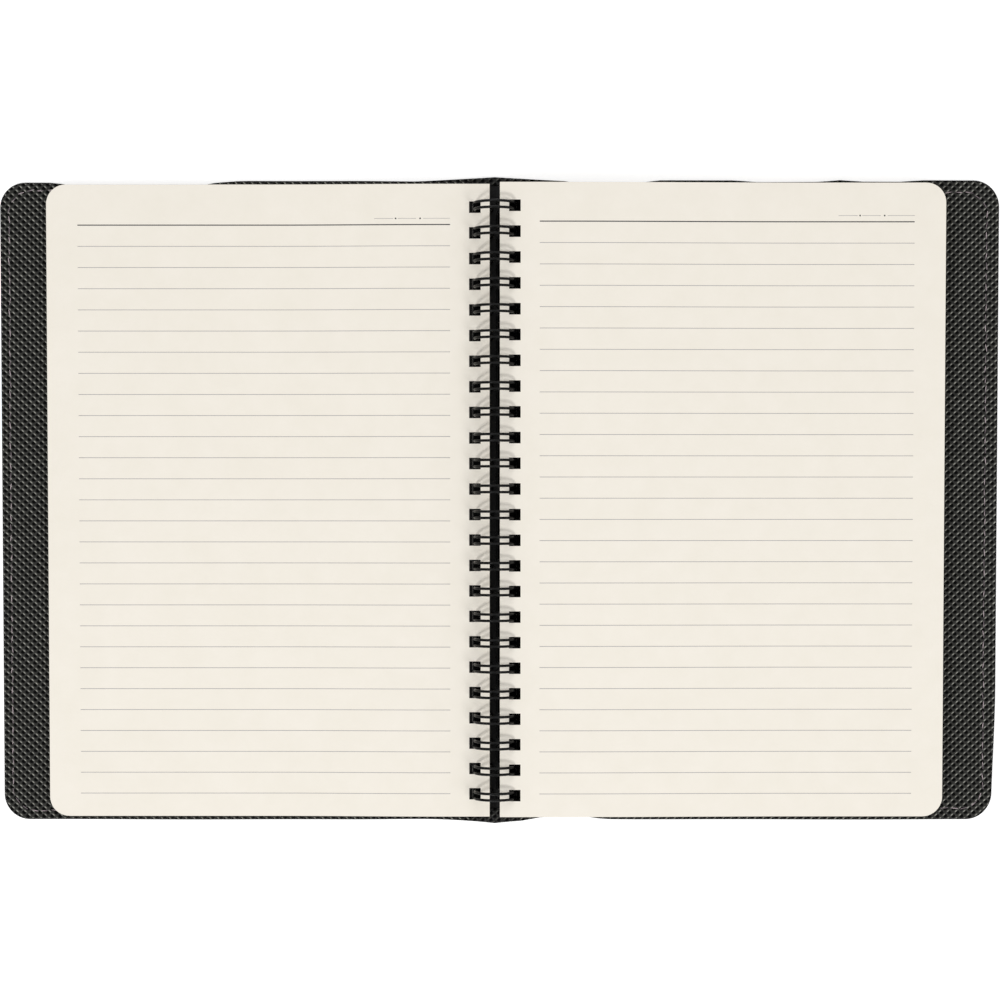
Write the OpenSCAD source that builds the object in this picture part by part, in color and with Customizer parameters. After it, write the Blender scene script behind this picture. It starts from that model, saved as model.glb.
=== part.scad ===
// A5 twin-loop wire-bound notebook in a sewn leatherette jacket, lying open and flat.
// Millimetres. +X runs to the right-hand page, +Y to the head of the pages, +Z up.
// The origin is on the surface that the notebook lies on, under the middle of the spine.

/* [Pages] */
// Width of one leaf, from its punched edge to its fore-edge
page_w = 147; // [110:1:152]
// Height of one leaf, head to foot
page_h = 210; // [207:1:212]
// Radius of the two rounded corners at the fore-edge
page_corner_r = 6.5; // [2:0.5:15]
// Thickness of the leaves turned to the left
front_stack_t = 1.6; // [0.6:0.1:1.9]
// Thickness of the leaves still on the right
back_stack_t = 6.4; // [3:0.1:6.7]
// Thickness of the card leaf under each stack
card_t = 0.5; // [0.3:0.1:0.7]
// Width of the gap between the two pages at the spine
page_gap = 3.4; // [2:0.1:4]

/* [Rise of the leaves towards the wire] */
// How far the left stack climbs from its flat part to the wire
front_lift = 1.75; // [1:0.05:2]
// How far the right stack climbs from its flat part to the wire
back_lift = 1.9; // [1:0.05:2.1]
// Width of the left slope
front_slope_w = 55; // [30:1:90]
// Width of the right slope
back_slope_w = 85; // [40:1:95]
// Width of the level strip beside the wire, before the slope starts
level_strip_w = 18; // [12:1:25]
// Straight pieces that each slope is drawn with
slope_steps = 14; // [6:1:24]

/* [Punched holes] */
// Width and height of one square hole
hole_w = 3.8; // [3.4:0.1:4.4]
// How far the left holes stand outward of the wire's own middle
front_hole_shift = 0.55; // [0:0.05:0.7]
// How far the right holes stand outward of the wire's own middle
back_hole_shift = 0.25; // [0:0.05:0.7]

/* [Twin-loop wire] */
// Number of double loops
loops = 24; // [4:1:24]
// Distance from one double loop to the next, three to the inch
loop_pitch = 8.467; // [7:0.001:8.6]
// Outside diameter of the closed loops
ring_od = 14.3; // [14.2:0.1:15]
// Diameter of the coated wire
wire_d = 0.9; // [0.7:0.05:1]
// Distance between the two wires of one double loop
twin_gap = 2.1; // [1.9:0.05:2.3]
// Bend radius where a loop turns into the line between two loops
base_bend_r = 1; // [0.7:0.1:1.2]
// Gap left between the loop tips and that line
seam_gap = 0.7; // [0.4:0.1:1]
// Straight wire left beyond the first and the last loop
wire_end_l = 1.2; // [0.5:0.1:2]

/* [Jacket] */
// Reach of the front side, from the middle of the spine to its fore-edge
front_reach = 164.6; // [160:0.1:180]
// Reach of the back side, from the middle of the spine to its fore-edge
back_reach = 167.4; // [160:0.1:180]
// Height of the jacket, head to foot
jacket_h = 213; // [212:1:222]
// Radius of the jacket's corners
jacket_corner_r = 8; // [3:0.5:16]
// Thickness of the outer skin
skin_t = 0.9; // [0.6:0.1:1]
// Thickness of the inner panels
panel_t = 0.9; // [0.6:0.1:1]
// Width of the spine between its two creases
spine_w = 16; // [16:0.5:20]
// Open width of each crease
crease_w = 0.2; // [0.1:0.05:0.4]
// Width of the swelling at the head and foot of the spine
swell_w = 52; // [36:1:80]
// Height of that swelling
swell_h = 1.5; // [0.8:0.1:3]
// Narrow rim of outer skin that shows round the inner panels
panel_inset = 0.4; // [0.2:0.1:1]
// Thickness of the smooth lining in the spine
lining_t = 0.5; // [0.3:0.1:0.6]
// Length of skin folded in at the head of the spine
head_turn_in = 2.7; // [2:0.1:8]
// Length of skin folded in at the foot of the spine
foot_turn_in = 5; // [2:0.1:8]

/* [Clearance] */
// Gap between two pieces that only lie on each other
rest_gap = 0.3; // [0.2:0.05:0.4]

/* [Hidden] */
$fn = 96;
swell_fn = 1440;
skin_color = [0.13, 0.13, 0.13];
panel_color = [0.17, 0.17, 0.16];
lining_color = [0.08, 0.08, 0.08];
wire_color = [0.05, 0.05, 0.055];
card_color = [0.2, 0.2, 0.2];
page_color = [0.95, 0.93, 0.87];

// Heights of the layers
panel_top = skin_t + panel_t;
card_z = panel_top + rest_gap;
stack_z = card_z + card_t;
wire_r = wire_d / 2;
ring_r = ring_od / 2 - wire_r;
ring_z = skin_t + lining_t + rest_gap + ring_od / 2;

// Places across the spine
crease_x = spine_w / 2;
page_in = page_gap / 2;
page_out = page_in + page_w;
tip_r = twin_gap / 2;
tip_angle = asin((seam_gap / 2 + wire_r + tip_r) / ring_r);
base_angle = asin((seam_gap / 2 + wire_r + base_bend_r) / ring_r);
base_run = loop_pitch - twin_gap - 2 * base_bend_r;
bend_swell = 0.015;
bend_lap = 4;

// Circle whose arc draws the swelling at the head and, mirrored, at the foot
swell_r = (pow(swell_w / 2, 2) + pow(swell_h, 2)) / (2 * swell_h);
swell_y = jacket_h / 2 + swell_h - swell_r;

// Middle of double loop number i along the spine
function loop_y(i) = (i - (loops - 1) / 2) * loop_pitch;

// Height of a slope between 1 at its top and 0 at its bottom, for t from 0 to 1
function ease(t) = 1 - t * t * (3 - 2 * t);

// Points of the underside of a stack, from the punched edge to the fore-edge
function underside(z, lift, slope_w) = concat(
    [[page_in, z + lift]],
    [for (i = [0:slope_steps])
        [level_strip_w + slope_w * i / slope_steps, z + lift * ease(i / slope_steps)]],
    [[page_out, z]]
);

// The same points taken back from the fore-edge, raised by t
function topside(z, lift, slope_w, t) = let (p = underside(z + t, lift, slope_w))
    [for (i = [len(p) - 1:-1:0]) p[i]];

// Disc whose rim draws the swelling at the head of the spine, drawn smaller by inset
module swell_disc(inset) {
    translate([0, swell_y]) circle(r = swell_r - inset, $fn = swell_fn);
}

// Outline of the jacket from the middle of the spine to the right, smaller by inset
module side_outline(reach, inset) {
    edge = reach - inset;
    half_h = jacket_h / 2 - inset;
    r = jacket_corner_r - inset;
    translate([0, -half_h]) square([edge - r, 2 * half_h]);
    translate([0, r - half_h]) square([edge, 2 * (half_h - r)]);
    for (side = [0, 1])
        mirror([0, side, 0]) {
            translate([edge - r, half_h - r]) circle(r = r);
            intersection() {
                swell_disc(inset);
                square([swell_w / 2, jacket_h]);
            }
        }
}

// One side of the jacket as a flat sheet, on the right of its crease
module side_sheet(reach, inset, z, t) {
    translate([0, 0, z]) linear_extrude(t) intersection() {
        side_outline(reach, inset);
        translate([crease_x + crease_w / 2, -jacket_h]) square([reach, 2 * jacket_h]);
    }
}

// Skin folded back on itself at the head of the spine, with a rounded fold
module folded_end(turn_in) {
    width = spine_w - crease_w;
    intersection() {
        translate([0, swell_y, 0]) rotate_extrude($fn = swell_fn) {
            translate([swell_r - skin_t, skin_t]) circle(r = skin_t);
            translate([swell_r - turn_in, 0]) square([turn_in - skin_t, 2 * skin_t]);
        }
        translate([-width / 2, 0, 0]) cube([width, jacket_h, 2 * skin_t]);
    }
}

// Leaf shape seen from above, on the right of the spine, rounded at the fore-edge only
module leaf_outline() {
    r = page_corner_r;
    translate([page_in, -page_h / 2]) square([page_w - r, page_h]);
    translate([page_in, -page_h / 2 + r]) square([page_w, page_h - 2 * r]);
    for (y = [-1, 1])
        translate([page_out - r, y * (page_h / 2 - r)]) circle(r = r);
}

// Row of holes whose walls follow the round of the wire, as punched leaves slide on it
module hole_row(shift) {
    intersection() {
        difference() {
            translate([shift + hole_w / 2, 0, ring_z]) rotate([90, 0, 0])
                cylinder(r = ring_r, h = page_h, center = true);
            translate([shift - hole_w / 2, 0, ring_z]) rotate([90, 0, 0])
                cylinder(r = ring_r, h = 2 * page_h, center = true);
        }
        for (i = [0:loops - 1])
            translate([page_in, loop_y(i) - hole_w / 2, 0]) cube([ring_od, hole_w, 2 * ring_z]);
    }
}

// Punched leaves on the right of the spine: a bowed block with a rounded fore-edge
module leaves(z, t, lift, slope_w, shift) {
    difference() {
        intersection() {
            rotate([90, 0, 0]) linear_extrude(page_h, center = true)
                polygon(concat(underside(z, lift, slope_w), topside(z, lift, slope_w, t)));
            linear_extrude(2 * ring_z) leaf_outline();
        }
        hole_row(shift);
    }
}

// Piece of bent wire: bend radius r, angle a, starting on the X axis and turning to Y
module bend(r, a) {
    rotate_extrude(angle = a) translate([r, 0]) circle(r = wire_r, $fn = 24);
}

// Tight bend, where the wire is a hair fuller and takes in the ends that it joins
module tight_bend(r, a) {
    rotate(-bend_lap) rotate_extrude(angle = a + 2 * bend_lap)
        translate([r, 0]) circle(r = wire_r + bend_swell, $fn = 24);
}

// Puts a piece on the ring at an angle a from its lowest point, Y along the spine,
// X along the ring's own run, Z towards its middle
module on_ring(a) {
    translate([0, 0, ring_z]) rotate([0, -a, 0]) translate([0, 0, -ring_r]) children();
}

// One double loop: two rings side by side, joined by a round tip
module double_loop() {
    sweep = 360 - tip_angle - base_angle;
    for (y = [-tip_r, tip_r])
        translate([0, y, ring_z]) rotate([90, 0, 0]) rotate(base_angle - 90) bend(ring_r, sweep);
    on_ring(-tip_angle) rotate(-90) tight_bend(tip_r, 180);
}

// Bend and half of the straight line that lead from a double loop towards the next one
module base_line(side, run) {
    corner_y = side * (tip_r + base_bend_r);
    on_ring(base_angle) {
        translate([0, corner_y, 0]) rotate(side > 0 ? 180 : 90) tight_bend(base_bend_r, 90);
        translate([-base_bend_r, corner_y, 0]) rotate([-side * 90, 0, 0])
            cylinder(r = wire_r, h = run, $fn = 24);
    }
}

module spine_skin() {
    color(skin_color) {
        linear_extrude(skin_t) intersection() {
            swell_disc(skin_t);
            mirror([0, 1, 0]) swell_disc(skin_t);
            square([spine_w - crease_w, 2 * jacket_h], center = true);
        }
        folded_end(head_turn_in);
        mirror([0, 1, 0]) folded_end(foot_turn_in);
    }
}

module spine_lining() {
    width = spine_w - crease_w;
    head_y = jacket_h / 2 + swell_h - head_turn_in - rest_gap;
    foot_y = -jacket_h / 2 - swell_h + foot_turn_in + rest_gap;
    color(lining_color)
        translate([-width / 2, foot_y, skin_t]) cube([width, head_y - foot_y, lining_t]);
}

module twin_loop_wire() {
    color(wire_color)
        for (i = [0:loops - 1])
            translate([0, loop_y(i), 0]) {
                double_loop();
                base_line(-1, i == 0 ? wire_end_l : base_run / 2);
                base_line(1, i == loops - 1 ? wire_end_l : base_run / 2);
            }
}

module front_skin() {
    color(skin_color) mirror([1, 0, 0]) side_sheet(front_reach, 0, 0, skin_t);
}

module front_inner_panel() {
    color(panel_color) mirror([1, 0, 0])
        side_sheet(front_reach, panel_inset, skin_t, panel_t);
}

module front_card() {
    color(card_color) mirror([1, 0, 0])
        leaves(card_z, card_t, front_lift, front_slope_w, front_hole_shift);
}

module front_pages() {
    color(page_color) mirror([1, 0, 0])
        leaves(stack_z, front_stack_t, front_lift, front_slope_w, front_hole_shift);
}

module back_skin() {
    color(skin_color) side_sheet(back_reach, 0, 0, skin_t);
}

module back_inner_panel() {
    color(panel_color) side_sheet(back_reach, panel_inset, skin_t, panel_t);
}

module back_card() {
    color(card_color) leaves(card_z, card_t, back_lift, back_slope_w, back_hole_shift);
}

module back_pages() {
    color(page_color) leaves(stack_z, back_stack_t, back_lift, back_slope_w, back_hole_shift);
}

spine_skin();
spine_lining();
twin_loop_wire();
front_skin();
front_inner_panel();
front_card();
front_pages();
back_skin();
back_inner_panel();
back_card();
back_pages();
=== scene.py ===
"""Looks of an A5 twin-loop wire-bound notebook lying open in a sewn leatherette jacket.

Lengths are given in millimetres and turned to metres by mm(). The frame's axes are +X towards
the right-hand page, +Y towards the head of the pages and +Z up, with the origin on the surface
under the middle of the spine.
"""

import logging
import math
import random
from dataclasses import dataclass
from enum import Enum
from functools import cache
from typing import Callable, Iterable, Sequence

import bmesh
import bpy
from mathutils import Matrix, Vector


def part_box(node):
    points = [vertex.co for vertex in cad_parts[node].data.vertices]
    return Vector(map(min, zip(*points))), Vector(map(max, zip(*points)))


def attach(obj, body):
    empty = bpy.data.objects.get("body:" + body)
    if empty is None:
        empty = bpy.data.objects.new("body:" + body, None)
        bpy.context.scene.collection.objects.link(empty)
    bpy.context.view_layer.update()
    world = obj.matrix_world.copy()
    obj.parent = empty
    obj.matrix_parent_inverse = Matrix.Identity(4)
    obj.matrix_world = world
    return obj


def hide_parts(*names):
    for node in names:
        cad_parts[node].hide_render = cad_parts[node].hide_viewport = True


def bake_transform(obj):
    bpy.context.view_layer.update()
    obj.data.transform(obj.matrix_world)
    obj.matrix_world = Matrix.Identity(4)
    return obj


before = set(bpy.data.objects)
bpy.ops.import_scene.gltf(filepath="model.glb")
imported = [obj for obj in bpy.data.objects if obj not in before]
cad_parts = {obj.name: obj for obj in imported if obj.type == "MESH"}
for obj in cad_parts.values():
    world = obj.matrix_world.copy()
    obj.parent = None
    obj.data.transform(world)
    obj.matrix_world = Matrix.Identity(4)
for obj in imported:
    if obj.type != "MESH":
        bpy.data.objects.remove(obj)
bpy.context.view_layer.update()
LOG = logging.getLogger("notebook")


class Side(Enum):
    """The two sides of the open notebook, with the sign of X on each."""

    FRONT = -1
    BACK = 1

    @property
    def label(self) -> str:
        """Return the side's name as the frame writes it."""
        return self.name.lower()

    @property
    def cover(self) -> str:
        """Return the body that the side's cover belongs to."""
        return f"{self.label}_cover"

    @property
    def leaves(self) -> str:
        """Return the body that the side's leaves belong to."""
        return f"{self.label}_leaves"


SPINE_BODY = "spine"


def mm(value: float) -> float:
    """Return millimetres as metres."""
    return value / 1000.0


def flat_mm(place: Vector) -> tuple[float, float]:
    """Return the X and Y of a place, given in metres, as millimetres."""
    return place.x * 1000.0, place.y * 1000.0


@cache
def cad_box(node: str) -> tuple[Vector, Vector]:
    """Return the lowest and highest corner of a CAD node in millimetres."""
    low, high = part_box(node)
    return Vector(low) * 1000.0, Vector(high) * 1000.0


def linear(hex_code: str) -> tuple[float, float, float, float]:
    """Turn an sRGB hex colour into linear RGBA.

    Args:
        hex_code: Six hex digits, without a leading mark.

    Returns:
        The linear colour with an alpha of one.
    """
    channels = [int(hex_code[i:i + 2], 16) / 255.0 for i in (0, 2, 4)]
    turned = [c / 12.92 if c <= 0.04045 else ((c + 0.055) / 1.055) ** 2.4 for c in channels]
    return (turned[0], turned[1], turned[2], 1.0)


def ease(t: float) -> float:
    """Return a slope's height, from 1 at its top (t = 0) to 0 at its bottom (t = 1)."""
    t = min(max(t, 0.0), 1.0)
    return 1.0 - t * t * (3.0 - 2.0 * t)


def steps(start: float, end: float, pitch: float) -> list[float]:
    """Return evenly spaced values from start up to, but not including, end.

    Args:
        start: First value.
        end: Value that the run stops short of.
        pitch: Largest spacing between two values.

    Returns:
        The values in rising order.
    """
    count = max(1, math.ceil((end - start) / pitch - 1e-6))
    return [start + (end - start) * i / count for i in range(count)]


def add_node(
    tree: bpy.types.NodeTree,
    kind: str,
    settings: dict[str, object] | None = None,
    inputs: dict[int | str, object] | None = None,
) -> bpy.types.Node:
    """Add one node, set it up and link what feeds it.

    Args:
        tree: Node tree to add to.
        kind: The node's type name.
        settings: Node properties by name.
        inputs: Input sockets by name or number, each a plain value or the socket to link from.

    Returns:
        The new node.
    """
    node = tree.nodes.new(kind)
    for name, value in (settings or {}).items():
        setattr(node, name, value)
    for key, value in (inputs or {}).items():
        if isinstance(value, bpy.types.NodeSocket):
            tree.links.new(value, node.inputs[key])
        else:
            node.inputs[key].default_value = value
    return node


def new_material(name: str) -> tuple[bpy.types.Material, bpy.types.NodeTree]:
    """Return an empty node material and its tree."""
    material = bpy.data.materials.new(name)
    material.use_nodes = True
    material.node_tree.nodes.clear()
    return material, material.node_tree


def set_ramp(node: bpy.types.Node, stops: Sequence[tuple[float, str]]) -> None:
    """Give a colour ramp its stops.

    Args:
        node: The colour ramp node.
        stops: Places from 0 to 1, each with an sRGB hex colour.
    """
    ramp = node.color_ramp
    while len(ramp.elements) < len(stops):
        ramp.elements.new(1.0)
    for element, (place, colour) in zip(ramp.elements, stops, strict=True):
        element.position = place
        element.color = linear(colour)


@dataclass(frozen=True)
class WovenGrain:
    """Grain of the leatherette: staggered open pits, with a raised stroke of thread beside each.

    The strokes lie along u, which runs up to the right, and v crosses them, down to the right.
    """

    cell_w: float = 2.7
    cell_h: float = 2.45
    ground: float = 0.6
    stroke_rise: float = 0.58
    stroke_place: float = -0.28
    stroke_sharpness: float = 4.5
    stroke_least: float = 0.05
    pit_depth: float = 0.7
    pit_sharpness: float = 0.9

    def height(self, x: float, y: float) -> float:
        """Return the relief at a place on the sheet.

        Args:
            x: Place across the sheet in millimetres.
            y: Place along the sheet in millimetres.

        Returns:
            Height, about 0 in the pits and about 1 on the strokes.
        """
        across, along = x / self.cell_w, y / self.cell_h
        u, v = across + along, across - along
        swing_u, swing_v, swing_stroke = (
            0.5 + 0.5 * math.cos(2 * math.pi * value) for value in (u, v, v - self.stroke_place)
        )
        length = self.stroke_least + (1 - self.stroke_least) * swing_u
        stroke = swing_stroke ** self.stroke_sharpness * length
        pit = (swing_u * swing_v) ** self.pit_sharpness
        return self.ground + self.stroke_rise * stroke - self.pit_depth * pit

    def height_nodes(
        self, tree: bpy.types.NodeTree, place: bpy.types.NodeSocket
    ) -> bpy.types.NodeSocket:
        """Write the same relief in shader nodes.

        Args:
            tree: The material's tree.
            place: Socket with the place on the sheet, in metres.

        Returns:
            The socket that gives the height.
        """
        split = add_node(tree, "ShaderNodeSeparateXYZ", inputs={0: place})
        value: dict[str, object] = {"x": split.outputs[0], "y": split.outputs[1]}
        formula = [
            ("across", "DIVIDE", "x", mm(self.cell_w)),
            ("along", "DIVIDE", "y", mm(self.cell_h)),
            ("u", "ADD", "across", "along"),
            ("v", "SUBTRACT", "across", "along"),
            ("stroke", "SUBTRACT", "v", self.stroke_place),
        ]
        for name in ("u", "v", "stroke"):
            formula += [
                (f"turn_{name}", "MULTIPLY", name, 2 * math.pi),
                (f"wave_{name}", "COSINE", f"turn_{name}", 0.0),
                (f"half_{name}", "MULTIPLY", f"wave_{name}", 0.5),
                (f"swing_{name}", "ADD", f"half_{name}", 0.5),
            ]
        formula += [
            ("narrow", "POWER", "swing_stroke", self.stroke_sharpness),
            ("broken", "MULTIPLY", "swing_u", 1 - self.stroke_least),
            ("length", "ADD", "broken", self.stroke_least),
            ("raised", "MULTIPLY", "narrow", "length"),
            ("rise", "MULTIPLY", "raised", self.stroke_rise),
            ("top", "ADD", "rise", self.ground),
            ("dip", "MULTIPLY", "swing_u", "swing_v"),
            ("pit", "POWER", "dip", self.pit_sharpness),
            ("sink", "MULTIPLY", "pit", self.pit_depth),
            ("height", "SUBTRACT", "top", "sink"),
        ]
        for name, operation, first, second in formula:
            node = add_node(
                tree,
                "ShaderNodeMath",
                {"operation": operation},
                {0: value.get(first, first), 1: value.get(second, second)},
            )
            value[name] = node.outputs[0]
        return value["height"]


GRAIN = WovenGrain()
UV_NAME = "flat_sheet"
RELIEF_NAME = "cut_relief"
# Vertex attribute marking the walls of punched holes, where the paper gets painted shade.
HOLE_SHADE_NAME = "painted_shade_in_holes"
WHITE = (1.0, 1.0, 1.0, 1.0)


@dataclass(frozen=True)
class WovenLeatherette:
    """PU-coated fabric, embossed under heat with a woven grain.

    Painted highlight makes the raised strokes bright; painted shade makes the pits almost black.
    """

    name: str
    # Painted shade: pit is the near-black colour of the pits.
    pit: str
    ground: str
    # Painted highlight: lit and stroke are the colours where the lamps glint on the raised
    # strokes.
    lit: str
    stroke: str
    roughness: float = 0.25
    specular: float = 0.1
    relief_mm: float = 0.5
    cut_share: float = 0.3
    patch_mm: float = 3.846
    pore_mm: float = 0.3846

    def build(self) -> bpy.types.Material:
        """Return the material."""
        material, tree = new_material(self.name)
        sheet = add_node(tree, "ShaderNodeUVMap", {"uv_map": UV_NAME}).outputs[0]
        height = GRAIN.height_nodes(tree, sheet)
        # The colour by height is painted shade and highlight: near-black in the pits, bright on
        # the strokes.
        tint = add_node(tree, "ShaderNodeValToRGB", inputs={0: height})
        stops = (0.3, self.pit), (0.52, self.ground), (0.66, self.lit), (0.87, self.stroke)
        set_ramp(tint, stops)
        matt = add_node(
            tree,
            "ShaderNodeMapRange",
            inputs={0: height, 1: 0.2, 2: 0.55, 3: 0.95, 4: self.roughness},
        )
        patches = add_node(
            tree,
            "ShaderNodeTexNoise",
            inputs={"Vector": sheet, "Scale": 1.0 / mm(self.patch_mm), "Detail": 3.0},
        )
        patch_range = add_node(
            tree,
            "ShaderNodeMapRange",
            inputs={0: patches.outputs[0], 1: 0.3, 2: 0.7, 3: 0.72, 4: 1.25},
        )
        colour = add_node(
            tree,
            "ShaderNodeMix",
            {"data_type": "RGBA", "blend_type": "MULTIPLY"},
            {0: 1.0, 6: tint.outputs[0], 7: patch_range.outputs[0]},
        )
        pores = add_node(
            tree,
            "ShaderNodeTexNoise",
            inputs={"Vector": sheet, "Scale": 1.0 / mm(self.pore_mm), "Detail": 2.0},
        )
        cut = add_node(tree, "ShaderNodeAttribute", {"attribute_name": RELIEF_NAME}).outputs["Fac"]
        pressed = add_node(
            tree,
            "ShaderNodeMath",
            {"operation": "MULTIPLY_ADD"},
            {0: cut, 1: -self.cut_share, 2: 1.0},
        ).outputs[0]
        weave = add_node(
            tree,
            "ShaderNodeBump",
            inputs={"Strength": pressed, "Distance": mm(self.relief_mm), "Height": height},
        )
        grain = add_node(
            tree,
            "ShaderNodeBump",
            inputs={
                "Strength": 0.5,
                "Distance": mm(0.03),
                "Height": pores.outputs[0],
                "Normal": weave.outputs[0],
            },
        )
        shader = add_node(
            tree,
            "ShaderNodeBsdfPrincipled",
            inputs={
                "Base Color": colour.outputs[2],
                "Roughness": matt.outputs[0],
                "Specular IOR Level": self.specular,
                "Normal": grain.outputs[0],
            },
        )
        add_node(tree, "ShaderNodeOutputMaterial", inputs={"Surface": shader.outputs[0]})
        return material


@dataclass(frozen=True)
class PlainSheet:
    """Uncoated or lightly coated sheet, such as paper, card or lining, or the ink printed on it.

    Its fibres give a faint mottle and tooth. The walls of punched holes get painted shade.
    """

    name: str
    light: str
    dark: str
    roughness: float
    mottle_mm: float
    tooth_mm: float
    tooth_depth_mm: float
    specular: float = 0.5
    # Colour of the painted shade on the walls of punched holes.
    punched: str = "100F0E"

    def build(self) -> bpy.types.Material:
        """Return the material."""
        material, tree = new_material(self.name)
        place = add_node(tree, "ShaderNodeTexCoord").outputs["Object"]
        mottle = add_node(
            tree,
            "ShaderNodeTexNoise",
            inputs={
                "Vector": place,
                "Scale": 1.0 / mm(self.mottle_mm),
                "Detail": 4.0,
                "Roughness": 0.6,
            },
        )
        tint = add_node(tree, "ShaderNodeValToRGB", inputs={0: mottle.outputs[0]})
        set_ramp(tint, [(0.3, self.dark), (0.7, self.light)])
        # Painted shade: the walls of punched holes turn near-black, as little light reaches into
        # them.
        hole_shade = add_node(tree, "ShaderNodeAttribute", {"attribute_name": HOLE_SHADE_NAME})
        colour = add_node(
            tree,
            "ShaderNodeMix",
            {"data_type": "RGBA"},
            {0: hole_shade.outputs["Fac"], 6: tint.outputs[0], 7: linear(self.punched)},
        )
        fibres = add_node(
            tree,
            "ShaderNodeTexNoise",
            inputs={"Vector": place, "Scale": 1.0 / mm(self.tooth_mm), "Detail": 3.0},
        )
        tooth = add_node(
            tree,
            "ShaderNodeBump",
            inputs={
                "Strength": 0.6,
                "Distance": mm(self.tooth_depth_mm),
                "Height": fibres.outputs[0],
            },
        )
        shader = add_node(
            tree,
            "ShaderNodeBsdfPrincipled",
            inputs={
                "Base Color": colour.outputs[2],
                "Roughness": self.roughness,
                "Specular IOR Level": self.specular,
                "Normal": tooth.outputs[0],
            },
        )
        add_node(tree, "ShaderNodeOutputMaterial", inputs={"Surface": shader.outputs[0]})
        return material


@dataclass(frozen=True)
class CoatedWire:
    """Steel wire with a black nylon coat: deep black with narrow, bright highlights."""

    name: str = "black_nylon_coated_wire"
    body: str = "050505"
    worn: str = "0E0E0F"
    specular: float = 0.12
    flow_mm: float = 2.381

    def build(self) -> bpy.types.Material:
        """Return the material."""
        material, tree = new_material(self.name)
        place = add_node(tree, "ShaderNodeTexCoord").outputs["Object"]
        uneven = add_node(
            tree,
            "ShaderNodeTexNoise",
            inputs={"Vector": place, "Scale": 1.0 / mm(self.flow_mm), "Detail": 2.0},
        )
        tint = add_node(tree, "ShaderNodeValToRGB", inputs={0: uneven.outputs[0]})
        set_ramp(tint, [(0.45, self.body), (0.75, self.worn)])
        rough = add_node(
            tree,
            "ShaderNodeMapRange",
            inputs={0: uneven.outputs[0], 1: 0.3, 2: 0.7, 3: 0.2, 4: 0.36},
        )
        flow = add_node(
            tree,
            "ShaderNodeBump",
            inputs={"Strength": 0.25, "Distance": mm(0.03), "Height": uneven.outputs[0]},
        )
        shader = add_node(
            tree,
            "ShaderNodeBsdfPrincipled",
            inputs={
                "Base Color": tint.outputs[0],
                "Roughness": rough.outputs[0],
                "Specular IOR Level": self.specular,
                "Normal": flow.outputs[0],
            },
        )
        add_node(tree, "ShaderNodeOutputMaterial", inputs={"Surface": shader.outputs[0]})
        return material


@dataclass(frozen=True)
class SpunThread:
    """Polyester sewing thread: pale grey with a pink cast and a soft sheen."""

    name: str = "pale_grey_sewing_thread"
    light: str = "B3A4A9"
    dark: str = "665A60"
    tone_mm: float = 6.283

    def build(self) -> bpy.types.Material:
        """Return the material."""
        material, tree = new_material(self.name)
        place = add_node(tree, "ShaderNodeTexCoord").outputs["Object"]
        # The real twist, about 0.2 mm, is too fine to show. Bands 6.3 mm apart stand in for it, so
        # that the tone changes from stitch to stitch. Such a band repeats 10 / tau times per unit.
        bands = add_node(
            tree,
            "ShaderNodeTexWave",
            {"wave_type": "BANDS", "bands_direction": "DIAGONAL"},
            {"Vector": place, "Scale": math.tau / 10.0 / mm(self.tone_mm), "Distortion": 1.5},
        )
        tint = add_node(tree, "ShaderNodeValToRGB", inputs={0: bands.outputs[1]})
        set_ramp(tint, [(0.2, self.dark), (0.8, self.light)])
        bump = add_node(
            tree,
            "ShaderNodeBump",
            inputs={"Strength": 0.6, "Distance": mm(0.06), "Height": bands.outputs[1]},
        )
        shader = add_node(
            tree,
            "ShaderNodeBsdfPrincipled",
            inputs={
                "Base Color": tint.outputs[0],
                "Roughness": 0.6,
                "Sheen Weight": 0.3,
                "Normal": bump.outputs[0],
            },
        )
        add_node(tree, "ShaderNodeOutputMaterial", inputs={"Surface": shader.outputs[0]})
        return material


# Each leatherette's first colour is painted shade in the pits, its last two painted highlight on
# the strokes.
JACKET_SKIN = WovenLeatherette("black_woven_leatherette", "020202", "1A1A19", "272725", "50504B")
JACKET_PANEL = WovenLeatherette(
    "charcoal_woven_leatherette", "010101", "252523", "373734", "9C9C94"
)
PAPER = PlainSheet("cream_writing_paper", "F5EFE4", "F2ECE0", 0.9, 9.0, 0.35, 0.012, 0.3)
CARD = PlainSheet("dark_binder_card", "262625", "1F1F1E", 0.75, 5.0, 0.3, 0.02)
LINING = PlainSheet("smooth_black_lining", "0B0B0B", "070707", 0.6, 6.0, 0.4, 0.02, 0.2)
LINE_INK = PlainSheet("grey_line_ink", "A8A6A8", "9B999C", 0.8, 3.0, 0.4, 0.004)
HEADER_INK = PlainSheet("dark_grey_header_ink", "4A4A4C", "3C3C3E", 0.8, 3.0, 0.4, 0.004)
WIRE_COAT = CoatedWire()
THREAD = SpunThread()


def grid(xs: Sequence[float], ys: Sequence[float], z: float) -> bmesh.types.BMesh:
    """Make a flat grid whose rows and columns stand at given places.

    Args:
        xs: Column places in millimetres, rising.
        ys: Row places in millimetres, rising.
        z: Height in millimetres.

    Returns:
        The mesh, in metres, facing up.
    """
    bm = bmesh.new()
    bmesh.ops.create_grid(bm, x_segments=len(xs) - 1, y_segments=len(ys) - 1, size=1.0)
    for vert in bm.verts:
        column = round((vert.co.x + 1.0) / 2.0 * (len(xs) - 1))
        row = round((vert.co.y + 1.0) / 2.0 * (len(ys) - 1))
        vert.co = Vector((mm(xs[column]), mm(ys[row]), mm(z)))
    return bm


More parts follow.
